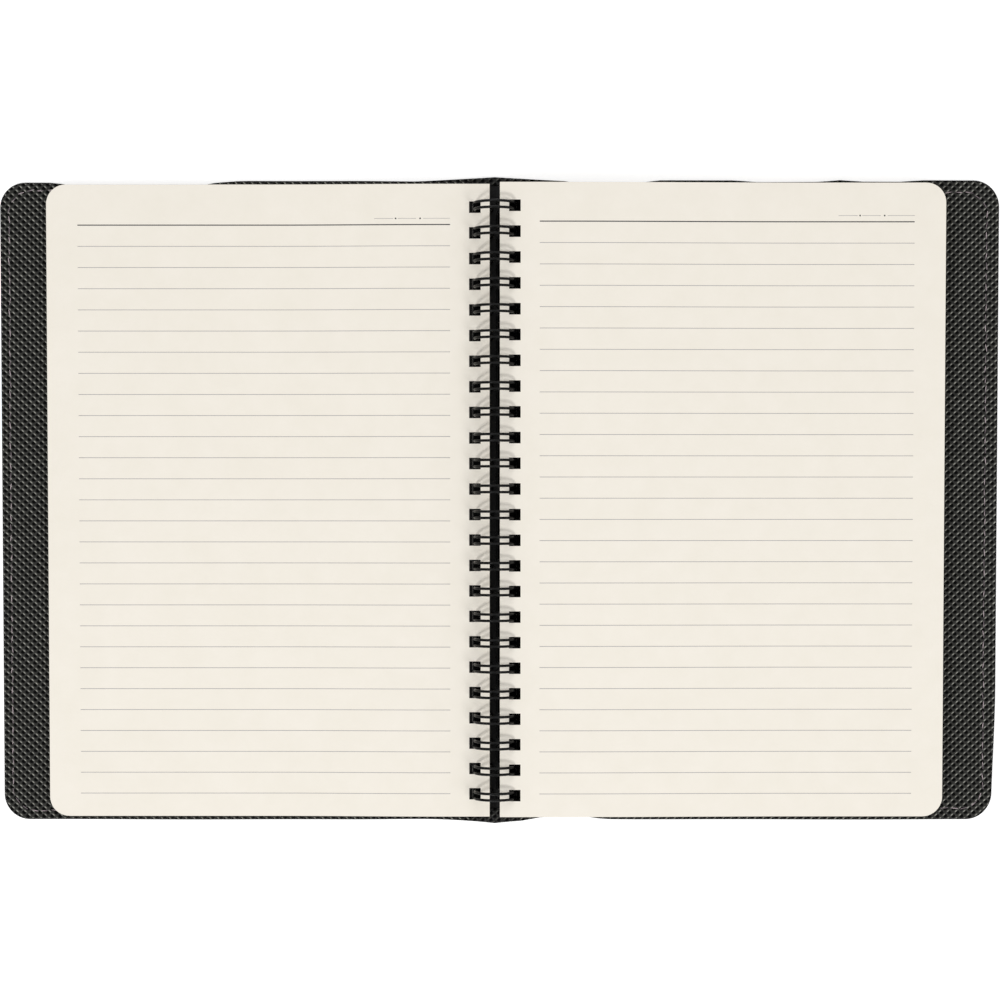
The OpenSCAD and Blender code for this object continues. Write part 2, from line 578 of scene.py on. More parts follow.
def thicken(bm: bmesh.types.BMesh, depth: float) -> list[bmesh.types.BMVert]:
    """Extrude a flat sheet into a closed slab.

    Args:
        bm: The sheet.
        depth: Its thickness in millimetres, negative to extrude downwards.

    Returns:
        The vertices of the new side.
    """
    made = bmesh.ops.extrude_face_region(bm, geom=list(bm.faces))["geom"]
    moved = [item for item in made if isinstance(item, bmesh.types.BMVert)]
    bmesh.ops.translate(bm, verts=moved, vec=(0, 0, mm(depth)))
    return moved


def close_below(bm: bmesh.types.BMesh, depths: Iterable[float], underside: float) -> None:
    """Extrude the open rim of a sheet downwards in stages and close it with a flat underside.

    Args:
        bm: Mesh with an open rim.
        depths: Depth of each stage in millimetres.
        underside: Height of the underside in millimetres.
    """
    rim = [edge for edge in bm.edges if edge.is_boundary]
    for depth in depths:
        made = bmesh.ops.extrude_edge_only(bm, edges=rim)["geom"]
        low = [item for item in made if isinstance(item, bmesh.types.BMVert)]
        bmesh.ops.translate(bm, verts=low, vec=(0, 0, -mm(depth)))
        rim = [edge for edge in made if isinstance(edge, bmesh.types.BMEdge) and edge.is_boundary]
    for edge in rim:
        for vert in edge.verts:
            vert.co.z = mm(underside)
    bmesh.ops.contextual_create(bm, geom=rim)


def add_object(name: str, data: bpy.types.ID) -> bpy.types.Object:
    """Put an object that shows the given data into the scene."""
    added = bpy.data.objects.new(name, data)
    bpy.context.scene.collection.objects.link(added)
    return added


def finish_piece(
    bm: bmesh.types.BMesh,
    name: str,
    material: bpy.types.Material,
    sheet_sign: int = 0,
    relief: Callable[[float], float] | None = None,
) -> bpy.types.Object:
    """Turn a bmesh into an object with its material and pattern data.

    Args:
        bm: The finished mesh, in metres; it is freed.
        name: Name of the piece.
        material: Its material.
        sheet_sign: 1 or -1 to keep the flat place on the sheet as a UV map, -1 for a sheet cut
            as a mirror image; 0 for no map.
        relief: Share of real relief at a place across the sheet, in millimetres, if it has any.

    Returns:
        The object, linked to the scene.
    """
    bmesh.ops.recalc_face_normals(bm, faces=bm.faces)
    if sheet_sign:
        layer = bm.loops.layers.uv.new(UV_NAME)
        for face in bm.faces:
            for loop in face.loops:
                loop[layer].uv = (sheet_sign * loop.vert.co.x, loop.vert.co.y)
        share = bm.verts.layers.float.new(RELIEF_NAME)
        for vert in bm.verts:
            vert[share] = relief(vert.co.x * 1000.0) if relief else 0.0
    mesh = bpy.data.meshes.new(name)
    bm.to_mesh(mesh)
    bm.free()
    mesh.materials.append(material)
    mesh.shade_smooth()
    piece = add_object(name, mesh)
    LOG.info("%s: %d faces", name, len(mesh.polygons))
    return piece


@dataclass
class JacketShape:
    """Outline of the jacket laid flat, shared by its skin, its panels and its seams."""

    height: float = 213.0
    corner_r: float = 8.6
    spine_w: float = 16.0
    crease_w: float = 0.2
    swell_w: float = 52.0
    swell_h: float = 1.5
    swell_peak: float = 1.42
    head_swell: float = 1.1
    foot_swell: float = 2.0
    skin_t: float = 0.9
    panel_t: float = 0.9
    panel_inset: float = 0.4
    wave: float = 0.1
    dip_run: float = 9.0
    spread: float = 0.12
    back_head_spread: float = 0.38
    bow: float = 0.45
    bow_end: float = -62.0
    bow_run: float = 46.0
    foot_draw: float = 1.2
    head_dips: tuple[tuple[float, float, float], ...] = (
        (-170.0, -92.0, 0.45),
        (-140.0, -98.0, 1.5),
        (32.0, 47.0, 0.85),
        (88.0, 107.0, 0.6),
        (123.0, 134.0, 0.55),
    )
    foot_dips: tuple[tuple[float, float, float], ...] = ((17.0, 29.0, 0.85),)
    wave_l: float = 17.0
    wave_start: float = 0.9
    beat_l: float = 41.0
    wave_fade: float = 20.0
    corner_margin: float = 6.0
    edge_power: int = 12

    def reach(self, side: Side) -> float:
        """Return the distance from the middle of the spine to a side's fore-edge."""
        low, high = cad_box(f"{side.label}_skin")
        return max(abs(low.x), abs(high.x))

    @property
    def swell_r(self) -> float:
        """Return the radius of the arc that swells the head and foot of the spine."""
        return ((self.swell_w / 2) ** 2 + self.swell_h ** 2) / (2 * self.swell_h)

    @property
    def swell_y(self) -> float:
        """Return the place of that arc's centre for the head."""
        return self.height / 2 + self.swell_h - self.swell_r

    def swelling(self, x: float, head: bool) -> float:
        """Return how far the outline swells out at a place across the jacket.

        Args:
            x: Place across the jacket.
            head: Whether it is the edge at the head.

        Returns:
            Distance in millimetres.
        """
        left = max(0.0, 1.0 - abs(x) / (self.swell_w / 2))
        return self.swell_peak * left ** (self.head_swell if head else self.foot_swell)

    def arc_swelling(self, x: float) -> float:
        """Return how far the CAD outline's arc swells out at a place across the jacket."""
        return math.sqrt(self.swell_r ** 2 - x * x) + self.swell_y - self.height / 2

    def edge_dip(self, x: float, head: bool) -> float:
        """Return how far the soft edge draws in at a place across the jacket.

        Args:
            x: Place across the jacket, negative on the front side.
            head: Whether it is the edge at the head.

        Returns:
            Distance in millimetres.
        """
        fade = min(1.0, max(0.0, (abs(x) - self.swell_w / 2) / self.wave_fade))
        spread = self.back_head_spread if head and x > 0 else self.spread
        wave = self.wave * math.sin(x / self.wave_l + self.wave_start) * math.cos(x / self.beat_l)
        drawn = [
            depth * ease((start - x) / self.dip_run) * ease((x - end) / self.dip_run)
            for start, end, depth in (self.head_dips if head else self.foot_dips)
        ]
        return fade * (wave - spread) + max(drawn)

    def edge_bow(self, side: Side, y: float) -> float:
        """Return how far the back's fore-edge bows out at a place along the spine.

        Args:
            side: Which side it is.
            y: Place along the spine.

        Returns:
            Distance in millimetres, negative near the foot, where the edge draws in.
        """
        if side is Side.FRONT:
            return 0.0
        return self.bow - self.foot_draw * (1.0 - ease((self.bow_end - y) / self.bow_run))

    def rows(self, inset: float, pitch: float, corner_steps: int) -> list[float]:
        """Return row places for a grid, close together where the corners turn.

        Args:
            inset: How much smaller the sheet is on every side.
            pitch: Spacing of the rows along the straight edge.
            corner_steps: Rows in each corner's arc.

        Returns:
            The places in rising order.
        """
        half, radius = self.height / 2 - inset, self.corner_r - inset
        straight = steps(radius - half, half - radius, pitch)
        arc = [
            half - radius + radius * math.sin(math.pi / 2 * i / corner_steps)
            for i in range(corner_steps + 1)
        ]
        return [-value for value in reversed(arc)] + straight[1:] + arc

    def fit(self, bm: bmesh.types.BMesh, side: Side, inset: float) -> None:
        """Move a rectangular grid's vertices into the outline.

        Args:
            bm: Grid that spans the side from the spine to the fore-edge.
            side: Which side it is.
            inset: How much smaller the sheet is on every side.
        """
        half, radius = self.height / 2 - inset, self.corner_r - inset
        edge = self.reach(side) - inset
        inner = edge - radius - self.corner_margin
        for vert in bm.verts:
            x, y = flat_mm(vert.co)
            x = abs(x)
            rise = max(0.0, abs(y) - (half - radius))
            limit = edge - radius + math.sqrt(max(0.0, radius ** 2 - rise ** 2))
            if x > inner:
                limit += self.edge_bow(side, y)
                x = inner + (x - inner) * (limit - inner) / (edge - inner)
            share = abs(y) / half
            drawn_in = self.edge_dip(side.value * x, y > 0) * share ** self.edge_power
            y += math.copysign(1.0, y) * (self.swelling(x, y > 0) * share - drawn_in)
            vert.co.x, vert.co.y = side.value * mm(x), mm(y)


@dataclass
class JacketSide:
    """One side of the jacket: half of the outer skin, the inner panel and its seam."""

    side: Side
    shape: JacketShape
    seam_inset: float
    band_w: float = 20.5
    fine_pitch: float = 0.3
    coarse_pitch: float = 4.0
    spine_pitch: float = 1.5
    edge_pitch: float = 1.0
    skin_corner_rows: int = 14
    panel_corner_rows: int = 26
    crease_margin: float = 3.0
    bend_half_w: float = 1.6
    relief_depth: float = 0.4
    relief_level: float = 0.9
    relief_run: float = 1.5
    rim_bite: float = 0.3
    rim_h: float = 0.35
    seam_from_crease: float = 1.5
    seam_corner_extra: float = 2.4
    stitch_pitch: float = 3.4
    stitch_l: float = 3.0
    stitch_least: float = 0.75
    stitch_skew: float = 0.2
    stitch_sway: float = 0.16
    stitch_lift: tuple[float, float] = (-0.16, -0.04)
    under_lift: float = 0.14
    thread_w: float = 0.3
    thread_h: float = 0.28
    seam_seed: int = 7

    @property
    def crease_x(self) -> float:
        """Return how far the crease lies from the middle of the spine."""
        return self.shape.spine_w / 2

    def build_skin(self, material: bpy.types.Material) -> bpy.types.Object:
        """Build this half of the outer skin, across the crease.

        Args:
            material: Finish of the skin.

        Returns:
            The piece.
        """
        shape, reach = self.shape, self.shape.reach(self.side)
        near, far = self.crease_x - self.crease_margin, self.crease_x + self.crease_margin
        xs = steps(0.0, near, self.spine_pitch) + steps(near, far, self.fine_pitch)
        xs += steps(far, reach - shape.corner_r, self.coarse_pitch)
        xs += steps(reach - shape.corner_r, reach, self.edge_pitch) + [reach]
        bm = grid(xs, shape.rows(0.0, self.coarse_pitch, self.skin_corner_rows), shape.skin_t)
        shape.fit(bm, self.side, 0.0)
        bmesh.ops.reverse_faces(bm, faces=bm.faces)
        thicken(bm, -shape.skin_t)
        middle = [
            face
            for face in bm.faces
            if abs(face.calc_center_median().x) < mm(0.01) and abs(face.normal.z) < 0.5
        ]
        bmesh.ops.delete(bm, geom=middle, context="FACES_ONLY")
        piece = finish_piece(bm, f"{self.side.label}_jacket_skin", material, sheet_sign=1)
        sharpen_rims(piece)
        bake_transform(piece)
        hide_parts(f"{self.side.label}_skin", "spine_skin")
        return piece

    def relief_share(self, x: float) -> float:
        """Return how much real relief the panel has at a place across it."""
        start = self.shape.reach(self.side) - self.band_w
        return min(1.0, max(0.0, (abs(x) - start) / self.relief_run))

    def build_panel(self, material: bpy.types.Material) -> bpy.types.Object:
        """Build the inner panel, whose woven grain is real relief where the leaves leave it bare.

        Args:
            material: Finish of the panel.

        Returns:
            The piece, riding on the cover.
        """
        shape, inset = self.shape, self.shape.panel_inset
        edge = shape.reach(self.side) - inset
        inner = self.crease_x + shape.crease_w / 2
        xs = steps(inner, edge - self.band_w, self.coarse_pitch)
        xs += steps(edge - self.band_w, edge, self.fine_pitch) + [edge]
        top = shape.skin_t + shape.panel_t
        bm = grid(xs, shape.rows(inset, self.fine_pitch, self.panel_corner_rows), top)
        rim = {vert for line in bm.edges if line.is_boundary for vert in line.verts}
        shape.fit(bm, self.side, inset)
        for vert in bm.verts:
            x, y = flat_mm(vert.co)
            share = self.relief_share(x)
            if share <= 0.0:
                continue
            height = GRAIN.height(self.side.value * x, y)
            vert.co.z -= mm(self.relief_depth * (self.relief_level - height) * share)
            if vert in rim:
                bite = self.rim_bite * (height - GRAIN.ground) * share
                vert.co.x += self.side.value * mm(bite)
        close_below(bm, (self.rim_h, shape.panel_t - self.rim_h), shape.skin_t)
        piece = finish_piece(
            bm,
            f"{self.side.label}_panel",
            material,
            sheet_sign=self.side.value,
            relief=self.relief_share,
        )
        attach(piece, self.side.cover)
        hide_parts(f"{self.side.label}_inner_panel")
        return piece

    def seam_places(self) -> list[tuple[float, float, float]]:
        """Return the middle and heading of every stitch, from the head crease to the foot crease.

        Returns:
            Places in millimetres with the heading in radians.
        """
        shape = self.shape
        edge = shape.reach(self.side) - self.seam_inset
        half = shape.height / 2 - self.seam_inset
        radius = shape.corner_r - self.seam_inset + self.seam_corner_extra
        start = self.crease_x + self.seam_from_crease
        side_run, edge_run = edge - radius - start, 2 * (half - radius)
        arc_run = math.pi / 2 * radius
        total = 2 * side_run + 2 * arc_run + edge_run
        count = round(total / self.stitch_pitch)
        places = []
        for i in range(count):
            s = (i + 0.5) * total / count
            if s < side_run:
                x, y, turn = start + s, half, 0.0
            elif s < side_run + arc_run:
                turn = (s - side_run) / radius
                x = edge - radius + radius * math.sin(turn)
                y = half - radius + radius * math.cos(turn)
            elif s < side_run + arc_run + edge_run:
                x, y, turn = edge, half - radius - (s - side_run - arc_run), math.pi / 2
            elif s < side_run + 2 * arc_run + edge_run:
                turn = math.pi / 2 + (s - side_run - arc_run - edge_run) / radius
                x = edge - radius + radius * math.sin(turn)
                y = radius - half + radius * math.cos(turn)
            else:
                x, y, turn = edge - radius - (s - total + side_run), -half, math.pi
            places.append((self.side.value * x, y, -self.side.value * turn))
        return places

    def build_seam(self, material: bpy.types.Material) -> bpy.types.Object:
        """Build the row of stitches round the side, above and below the jacket.

        Args:
            material: Finish of the thread.

        Returns:
            The piece, riding on the cover.
        """
        rng = random.Random(self.seam_seed + self.side.value)
        top = mm(self.shape.skin_t + self.shape.panel_t)
        bm = bmesh.new()
        for x, y, heading in self.seam_places():
            for level, lift in ((top, rng.uniform(*self.stitch_lift)), (0.0, self.under_lift)):
                length = self.stitch_l * rng.uniform(self.stitch_least, 1.0)
                extents = (length, self.thread_w, self.thread_h)
                size = Matrix.Diagonal((*(mm(extent) / 2 for extent in extents), 1.0))
                skew = rng.uniform(-self.stitch_skew, self.stitch_skew)
                turn = Matrix.Rotation(heading + skew, 4, "Z")
                sway = rng.uniform(-self.stitch_sway, self.stitch_sway)
                place = Matrix.Translation((mm(x + sway), mm(y + sway), level + mm(lift)))
                bmesh.ops.create_uvsphere(
                    bm, u_segments=8, v_segments=6, radius=1.0, matrix=place @ turn @ size
                )
        piece = finish_piece(bm, f"{self.side.label}_seam_thread", material)
        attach(piece, self.side.cover)
        return piece


def sharpen_rims(piece: bpy.types.Object, angle: float = 40.0) -> None:
    """Keep a piece's cut edges crisp while its broad faces stay smooth."""
    piece.data.set_sharp_from_angle(angle=math.radians(angle))


@dataclass
class SpineParts:
    """What fills the spine: the skin folded in at its two ends, and the smooth lining."""

    shape: JacketShape
    head_turn_in: float = 2.7
    foot_turn_in: float = 5.0
    fold_steps: int = 24
    weld: float = 0.001
    edge_w: float = 1.2
    edge_pitch: float = 0.3
    middle_pitch: float = 1.0
    row_pitch: float = 5.0
    hollow: float = 0.12
    roll: float = 0.3
    roll_from: float = 0.88
    ripple: float = 0.03
    ripple_l: float = 9.0
    rim_h: float = 0.1

    def build_fold(self, head: bool, material: bpy.types.Material) -> bpy.types.Object:
        """Build the rounded fold of skin at one end of the spine.

        Args:
            head: Whether it is the end at the head.
            material: Finish of the skin.

        Returns:
            The piece, riding on the spine.
        """
        shape = self.shape
        turn_in = self.head_turn_in if head else self.foot_turn_in
        thick, radius = shape.skin_t, shape.swell_r
        half_w = shape.spine_w / 2 - shape.crease_w / 2
        sweep = 2 * math.asin(half_w / radius)
        sign = 1 if head else -1
        outline = [(radius - turn_in, thick), (radius - thick, thick)]
        outline += [
            (radius - thick + thick * math.cos(a), thick + thick * math.sin(a))
            for a in (math.radians(deg) for deg in range(-90, 91, 15))
        ]
        outline += [(radius - turn_in, 2 * thick)]
        bm = bmesh.new()
        start = Matrix.Rotation(-sign * sweep / 2, 4, "Z")
        verts = [bm.verts.new(start @ Vector((0, sign * mm(r), mm(z)))) for r, z in outline]
        for i, vert in enumerate(verts):
            bm.edges.new((vert, verts[(i + 1) % len(verts)]))
        cap = bmesh.ops.contextual_create(bm, geom=list(bm.edges))["faces"]
        bmesh.ops.spin(
            bm,
            geom=cap,
            cent=(0, 0, 0),
            axis=(0, 0, sign),
            angle=sweep,
            steps=self.fold_steps,
            use_duplicate=False,
        )
        bmesh.ops.translate(bm, verts=bm.verts, vec=(0, sign * mm(shape.swell_y), 0))
        for vert in bm.verts:
            x = vert.co.x * 1000.0
            vert.co.y += sign * mm(shape.swelling(x, head) - shape.arc_swelling(x))
        bmesh.ops.remove_doubles(bm, verts=bm.verts, dist=mm(self.weld))
        name = "spine_head_fold" if head else "spine_foot_fold"
        piece = finish_piece(bm, name, material, sheet_sign=1)
        sharpen_rims(piece)
        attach(piece, SPINE_BODY)
        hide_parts("spine_skin")
        return piece

    def build_lining(self, material: bpy.types.Material) -> bpy.types.Object:
        """Build the lining strip, with soft long edges and a slight hollow under the wire.

        Args:
            material: Finish of the lining.

        Returns:
            The piece, riding on the spine.
        """
        low, high = cad_box("spine_lining")
        half = high.x
        level = half - self.edge_w
        xs = steps(-half, -level, self.edge_pitch) + steps(-level, level, self.middle_pitch)
        xs += steps(level, half, self.edge_pitch) + [half]
        bm = grid(xs, steps(low.y, high.y, self.row_pitch) + [high.y], high.z)
        for vert in bm.verts:
            x, y = flat_mm(vert.co)
            share = abs(x) / half
            hollow = self.hollow * (1 - share ** 2)
            roll = self.roll * max(0.0, (share - self.roll_from) / (1 - self.roll_from)) ** 2
            ripple = self.ripple * math.sin(y / self.ripple_l) * (1 - share)
            vert.co.z -= mm(hollow + roll - ripple)
        close_below(bm, (self.rim_h,), low.z)
        piece = finish_piece(bm, "spine_lining_strip", material)
        sharpen_rims(piece)
        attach(piece, SPINE_BODY)
        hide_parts("spine_lining")
        return piece


@dataclass
class LoopWire:
    """The twin-loop wire: one length of wire bent into double loops with round tips."""

    loops: int = 24
    pitch: float = 8.467
    wire_d: float = 0.9
    twin_gap: float = 2.1
    base_bend_r: float = 1.0
    seam_gap: float = 0.7
    end_l: float = 1.2
    ring_steps: int = 44
    bend_steps: int = 6
    weld: float = 0.002

    @property
    def centre_z(self) -> float:
        """Return the height of the rings' middle."""
        return cad_box("twin_loop_wire")[1].z - self.ring_r - self.wire_d / 2

    @property
    def ring_r(self) -> float:
        """Return the radius of a ring, measured to the middle of the wire."""
        low, high = cad_box("twin_loop_wire")
        return (high.x - low.x) / 2 - self.wire_d / 2

    def loop_y(self, index: int) -> float:
        """Return the middle of a double loop along the spine."""
        return (index - (self.loops - 1) / 2) * self.pitch

    def ring_x(self, z: float) -> float:
        """Return how far from the spine's middle the ring's wire stands at a height."""
        return math.sqrt(max(0.0, self.ring_r ** 2 - (z - self.centre_z) ** 2))

    def on_ring(self, angle: float, run: float, y: float) -> Vector:
        """Return a place beside the ring.

        Args:
            angle: Angle from the ring's lowest point, towards the back side, in radians.
            run: Distance from there along the ring's own tangent.
            y: Place along the spine.

        Returns:
            The place in millimetres.
        """
        x = self.ring_r * math.sin(angle) + run * math.cos(angle)
        z = self.centre_z - self.ring_r * math.cos(angle) + run * math.sin(angle)
        return Vector((x, y, z))

    def path(self) -> list[Vector]:
        """Return the wire's middle line from its foot end to its head end.

        Returns:
            Places in millimetres.
        """
        half = self.twin_gap / 2
        wire_r = self.wire_d / 2
        base = math.asin((self.seam_gap / 2 + wire_r + self.base_bend_r) / self.ring_r)
        tip = math.asin((self.seam_gap / 2 + wire_r + half) / self.ring_r)
        sweep = 2 * math.pi - base - tip
        count = self.bend_steps
        bend = [math.pi / 2 * i / count for i in range(count + 1)]
        tip_bend = [math.pi * i / (2 * count) for i in range(2 * count + 1)]
        points: list[Vector] = []
        for index in range(self.loops):
            y, r = self.loop_y(index), self.base_bend_r
            if index == 0:
                points.append(self.on_ring(base, -r, y - half - r - self.end_l))
            points += [
                self.on_ring(base, -r * math.cos(a), y - half - r + r * math.sin(a)) for a in bend
            ]
            ring = [base + sweep * i / self.ring_steps for i in range(1, self.ring_steps)]
            points += [self.on_ring(a, 0.0, y - half) for a in ring]
            points += [
                self.on_ring(-tip, half * math.sin(a), y - half * math.cos(a)) for a in tip_bend
            ]
            points += [self.on_ring(a, 0.0, y + half) for a in reversed(ring)]
            points += [
                self.on_ring(base, -r * math.cos(a), y + half + r - r * math.sin(a))
                for a in reversed(bend)
            ]
            if index == self.loops - 1:
                points.append(self.on_ring(base, -r, y + half + r + self.end_l))
        return points

    def build(self, material: bpy.types.Material) -> bpy.types.Object:
        """Build the wire as one round tube along its path.

        Args:
            material: Finish of the wire.

        Returns:
            The piece, riding on the spine.
        """
        curve = bpy.data.curves.new("wire_path", "CURVE")
        curve.dimensions = "3D"
        curve.bevel_depth = mm(self.wire_d / 2)
        curve.bevel_resolution = 3
        curve.use_fill_caps = True
        spline = curve.splines.new("POLY")
        points = self.path()
        spline.points.add(len(points) - 1)
        for point, place in zip(spline.points, points, strict=True):
            point.co = (mm(place.x), mm(place.y), mm(place.z), 1.0)
        guide = add_object("wire_path", curve)
        bpy.context.view_layer.update()
        mesh = bpy.data.meshes.new_from_object(guide)
        bpy.data.objects.remove(guide)
        bm = bmesh.new()
        bm.from_mesh(mesh)
        bpy.data.meshes.remove(mesh)
        bmesh.ops.remove_doubles(bm, verts=bm.verts, dist=mm(self.weld))
        piece = finish_piece(bm, "coated_twin_loop_wire", material)
        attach(piece, SPINE_BODY)
        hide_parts("twin_loop_wire")
        return piece


@dataclass
class LeafStack:
    """A stack of punched leaves on one side, over its card leaf."""

    side: Side
    wire: LoopWire
    leaf_count: int
    slope_w: float
    hole_shift: float
    foot_trim: float
    card_t: float = 0.5
    level_strip_w: float = 18.0
    corner_r: float = 6.5
    hole_w: float = 3.8
    end_strip_w: float = 2.0
    slope_steps: int = 16
    edge_depth: float = 0.035
    leaf_jitter: float = 0.1
    leaf_seed: int = 31
    inner_strip_w: float = 0.5
    hole_margin: float = 0.5
    level_gap: float = 3.0
    level_pitch: float = 4.0
    far_pitch: float = 20.0
    corner_pitch: float = 1.3
    corner_deg: int = 9

    def __post_init__(self) -> None:
        """Take the stack's extents from the frame."""
        low, high = cad_box(f"{self.side.label}_pages")
        card_low, card_high = cad_box(f"{self.side.label}_card")
        self.base_z = low.z
        self.lift = card_high.z - card_low.z - self.card_t
        self.thick = high.z - low.z - self.lift
        self.inner = min(abs(low.x), abs(high.x))
        self.outer = max(abs(low.x), abs(high.x))
        self.half_h = high.y

    def rise(self, x: float) -> float:
        """Return how far the stack is lifted at a distance from the spine."""
        return self.lift * ease((x - self.level_strip_w) / self.slope_w)

    def top(self, x: float) -> float:
        """Return the height of the uppermost leaf at a distance from the spine."""
        return self.base_z + self.thick + self.rise(x)

    def hole_x(self, level: float) -> float:
        """Return the middle of the holes at a level of the stack.

        Args:
            level: Height in the stack, 0 at the bottom and 1 at the top.

        Returns:
            Distance from the spine's middle in millimetres.
        """
        return self.wire.ring_x(self.base_z + self.lift + level * self.thick) + self.hole_shift

    def columns(self) -> list[float]:
        """Return the column places, with two that bound the holes."""
        near, far = (self.hole_x(1.0) + way * self.hole_w / 2 for way in (-1, 1))
        slope_end = self.level_strip_w + self.slope_w
        corner = self.outer - self.corner_r
        xs = [self.inner, near, far]
        xs += steps(far + self.level_gap, self.level_strip_w, self.level_pitch)
        xs += steps(self.level_strip_w, slope_end, self.slope_w / self.slope_steps)
        xs += steps(slope_end, corner, self.far_pitch)
        return xs + steps(corner, self.outer, self.corner_pitch) + [self.outer]

    def rows(self) -> list[float]:
        """Return the row places, with two that bound each hole and an arc at each corner."""
        rows = [
            self.wire.loop_y(i) + way * self.hole_w / 2
            for i in range(self.wire.loops)
            for way in (-1, 1)
        ]
        for angle in range(0, 91, self.corner_deg):
            inset = self.corner_r * (1 - math.sin(math.radians(angle)))
            rows += [inset - self.half(-1.0), self.half(1.0) - inset]
        return sorted(rows)

    def half(self, y: float) -> float:
        """Return how far the leaf reaches towards the head or, for a negative y, the foot."""
        return self.half_h - (self.foot_trim if y < 0 else 0.0)

    def corner_limit(self, y: float) -> float:
        """Return how far out the leaf reaches at a place along the spine."""
        rise = max(0.0, abs(y) - (self.half(y) - self.corner_r))
        return self.outer - self.corner_r + math.sqrt(max(0.0, self.corner_r ** 2 - rise ** 2))

    def in_hole(self, x: float, y: float) -> bool:
        """Return whether a place on the uppermost leaf lies in a punched hole."""
        near = min(abs(y - self.wire.loop_y(i)) for i in range(self.wire.loops))
        return near < self.hole_w / 2 and abs(x - self.hole_x(1.0)) < self.hole_w / 2

    def build_leaves(self, material: bpy.types.Material) -> bpy.types.Object:
        """Build the block of leaves, whose cut edges show every leaf as a fine ridge.

        Args:
            material: Finish of the paper.

        Returns:
            The piece, riding on the side's leaves.
        """
        bm = grid(self.columns(), self.rows(), 0.0)
        holes = [face for face in bm.faces if self.in_hole(*flat_mm(face.calc_center_median()))]
        bmesh.ops.delete(bm, geom=holes, context="FACES")
        squeeze_from = self.outer - self.corner_r - self.corner_pitch
        for vert in bm.verts:
            x, y = flat_mm(vert.co)
            if x > squeeze_from:
                limit = self.corner_limit(y)
                share = (x - squeeze_from) / (self.outer - squeeze_from)
                vert.co.x = mm(squeeze_from + share * (limit - squeeze_from))
        upper = set(thicken(bm, 1.0))
        walls = [edge for edge in bm.edges if (edge.verts[0] in upper) != (edge.verts[1] in upper)]
        bmesh.ops.subdivide_edges(bm, edges=walls, cuts=2 * self.leaf_count - 1)
        self.shape_leaves(bm)
        piece = finish_piece(bm, f"{self.side.label}_leaf_stack", material)
        sharpen_rims(piece, angle=30.0)
        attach(piece, self.side.leaves)
        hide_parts(f"{self.side.label}_pages")
        return piece

    def shape_leaves(self, bm: bmesh.types.BMesh) -> None:
        """Bend the block to its slope, lean its holes with the wire and ridge its edges.

        Args:
            bm: The straight block, one millimetre high.
        """
        rng = random.Random(self.leaf_seed + self.side.value)
        shifts = [
            (rng.uniform(-1, 1) * self.leaf_jitter, rng.uniform(-1, 1) * self.leaf_jitter)
            for _ in range(self.leaf_count)
        ]
        # The walls of punched holes are marked for the paper's painted shade.
        hole_shade = bm.verts.layers.float.new(HOLE_SHADE_NAME)
        bm.normal_update()
        normals = {vert: vert.normal.copy() for vert in bm.verts}
        strip_end = self.inner + self.inner_strip_w
        hole_end = self.hole_x(1.0) + self.hole_w / 2 + self.hole_margin
        for vert in bm.verts:
            level = vert.co.z * 1000.0
            x, y = flat_mm(vert.co)
            step = round(level * 2 * self.leaf_count)
            inside = 0 < step < 2 * self.leaf_count
            punched = strip_end < x < hole_end and abs(y) < self.half_h - self.end_strip_w
            lean = self.hole_x(level) - self.hole_x(1.0) if punched else 0.0
            z = self.base_z + level * self.thick + self.rise(x)
            if inside:
                leaf = min(step // 2, self.leaf_count - 1)
                inward = self.edge_depth if step % 2 == 0 else 0.0
                x -= normals[vert].x * inward
                y -= normals[vert].y * inward
                if not punched and x > strip_end:
                    x += shifts[leaf][0]
                y += shifts[leaf][1] * (0.0 if punched else 1.0)
            vert[hole_shade] = float(inside and punched)
            vert.co = Vector((self.side.value * mm(x + lean), mm(y), mm(z)))

    def dress_card(self, material: bpy.types.Material) -> None:
        """Give the card leaf under the stack its finish."""
        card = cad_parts[f"{self.side.label}_card"]
        card.data.materials.clear()
        card.data.materials.append(material)


